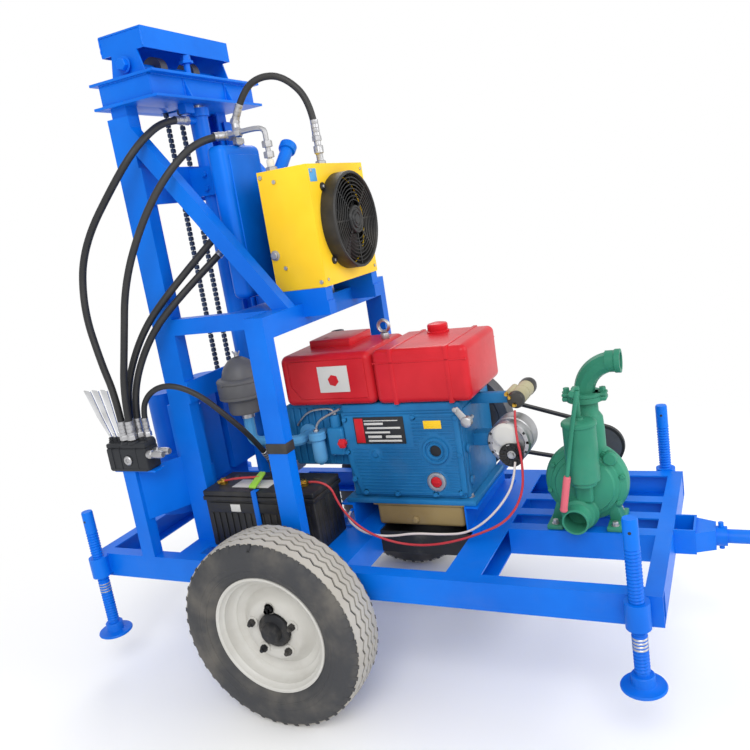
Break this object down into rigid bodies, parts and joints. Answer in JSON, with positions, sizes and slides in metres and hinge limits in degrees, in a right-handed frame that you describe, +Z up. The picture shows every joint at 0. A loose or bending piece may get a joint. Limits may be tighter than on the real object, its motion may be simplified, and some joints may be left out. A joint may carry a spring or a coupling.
{
  "type": "water well drilling rig",
  "caption": "Trailer-mounted water well drilling rig with a telescopic mast, twin-motor drill head, diesel engine, oil tank and cooler, mud pump, screw jacks and drawbar.",
  "frame": {"origin": "on the floor, under the centre of the bounding box", "axes": "+X towards the drawbar eye, +Y towards the far side from the control valve, +Z up"},
  "size_m": [2.4999, 1.144, 2.009],
  "materials": {
    "blue_paint": "gloss",
    "yellow_paint": "gloss",
    "red_paint": "gloss",
    "engine_paint": "satin",
    "pump_paint": "satin",
    "black_paint": "satin",
    "black_plastic": "matte",
    "bright_steel": "brushed",
    "chrome": "polished",
    "iron": "cast",
    "sump_paint": "satin",
    "rim_paint": "satin",
    "tyre": "matte",
    "rubber": "matte",
    "red_cable": "satin",
    "white_cable": "satin",
    "pipe_paint": "gloss"
  },
  "bodies": {
    "chassis": {"side_rails": "blue_paint", "cross_members": "blue_paint", "drip_pan": "black_paint", "drawbar": "blue_paint", "drawbar_stand": "blue_paint", "axle": "blue_paint", "deck_frame": "blue_paint", "mast_columns": "blue_paint", "lift_barrel": "blue_paint", "oil_tank": "blue_paint", "cooler": "yellow_paint", "fan_shroud": "black_plastic", "battery": "black_plastic", "engine_block": "engine_paint", "oil_sump": "sump_paint", "hopper": "red_paint", "fuel_tank": "red_paint", "air_cleaner": "black_paint", "muffler": "iron", "starter": "bright_steel", "generator": "bright_steel", "hydraulic_pump": "bright_steel", "mud_pump": "pump_paint", "valve_stand": "blue_paint", "valve_bank": "black_paint", "valve_levers": "chrome", "belts": "rubber", "priming_lever": "pump_paint", "outlet_elbow": "pump_paint", "intake_pipe": "pipe_paint", "fuel_filter": "bright_steel", "hose_return": "rubber", "hose_cooler": "rubber", "hose_lift": "rubber", "hose_feed_a": "rubber", "hose_feed_b": "rubber", "hose_pump": "rubber", "cable_red": "red_cable", "cable_white": "white_cable"},
    "inner_mast": {"inner_columns": "blue_paint", "head_beam": "blue_paint", "lift_chain": "iron", "crown": "blue_paint", "crown_sheaves": "iron", "lift_rod": "chrome"},
    "drill_carriage": {"carriage": "blue_paint", "drill_head": "blue_paint"},
    "spindle": {"spindle": "bright_steel"},
    "wheel_near": {"tyre_near": "tyre", "rim_near": "rim_paint"},
    "wheel_far": {"tyre_far": "tyre", "rim_far": "rim_paint"},
    "jack_rear_near": {"jack_rear_near": "blue_paint"},
    "jack_rear_far": {"jack_rear_far": "blue_paint"},
    "jack_front_near": {"jack_front_near": "blue_paint"},
    "jack_front_far": {"jack_front_far": "blue_paint"},
    "fan": {"fan_rotor": "black_plastic"},
    "flywheel": {"flywheel": "iron"},
    "pump_pulley": {"pump_pulley": "iron"},
    "hydraulic_pulley": {"hydraulic_pulley": "iron"}
  },
  "joints": [
    {"name": "mast_lift", "type": "slide", "parent": "chassis", "child": "inner_mast", "axis": [0, 0, 1], "range_m": [0, 0.8]},
    {"name": "carriage_lift", "type": "slide", "parent": "inner_mast", "child": "drill_carriage", "axis": [0, 0, 1], "range_m": [0, 0.8]},
    {"name": "spindle_spin", "type": "hinge", "parent": "drill_carriage", "child": "spindle", "pos_m": [-1.059, 0, 0.418], "axis": [0, 0, 1], "continuous": true},
    {"name": "wheel_near_spin", "type": "hinge", "parent": "chassis", "child": "wheel_near", "pos_m": [-0.465, -0.4935, 0.288], "axis": [0, 1, 0], "continuous": true},
    {"name": "wheel_far_spin", "type": "hinge", "parent": "chassis", "child": "wheel_far", "pos_m": [-0.465, 0.4935, 0.288], "axis": [0, 1, 0], "continuous": true},
    {"name": "jack_rear_near_screw", "type": "slide", "parent": "chassis", "child": "jack_rear_near", "axis": [0, 0, 1], "range_m": [-0.2, 0.14]},
    {"name": "jack_rear_far_screw", "type": "slide", "parent": "chassis", "child": "jack_rear_far", "axis": [0, 0, 1], "range_m": [-0.2, 0.12]},
    {"name": "jack_front_near_screw", "type": "slide", "parent": "chassis", "child": "jack_front_near", "axis": [0, 0, 1], "range_m": [-0.2, 0.1]},
    {"name": "jack_front_far_screw", "type": "slide", "parent": "chassis", "child": "jack_front_far", "axis": [0, 0, 1], "range_m": [-0.2, 0.1]},
    {"name": "fan_spin", "type": "hinge", "parent": "chassis", "child": "fan", "pos_m": [-0.309, 0, 1.374], "axis": [1, 0, 0], "continuous": true},
    {"name": "flywheel_spin", "type": "hinge", "parent": "chassis", "child": "flywheel", "pos_m": [-0.123, 0.2, 0.655], "axis": [0, 1, 0], "continuous": true},
    {"name": "pump_spin", "type": "hinge", "parent": "chassis", "child": "pump_pulley", "pos_m": [0.338, 0.297, 0.546], "axis": [0, 1, 0], "continuous": true},
    {"name": "hydraulic_spin", "type": "hinge", "parent": "chassis", "child": "hydraulic_pulley", "pos_m": [-0.67, 0.271, 0.648], "axis": [0, 1, 0], "continuous": true}
  ],
  "couplings": [
    {"joint": "carriage_lift", "follows": "mast_lift", "ratio": 1},
    {"joint": "pump_spin", "follows": "flywheel_spin", "ratio": 1.5},
    {"joint": "hydraulic_spin", "follows": "flywheel_spin", "ratio": 1.8}
  ]
}
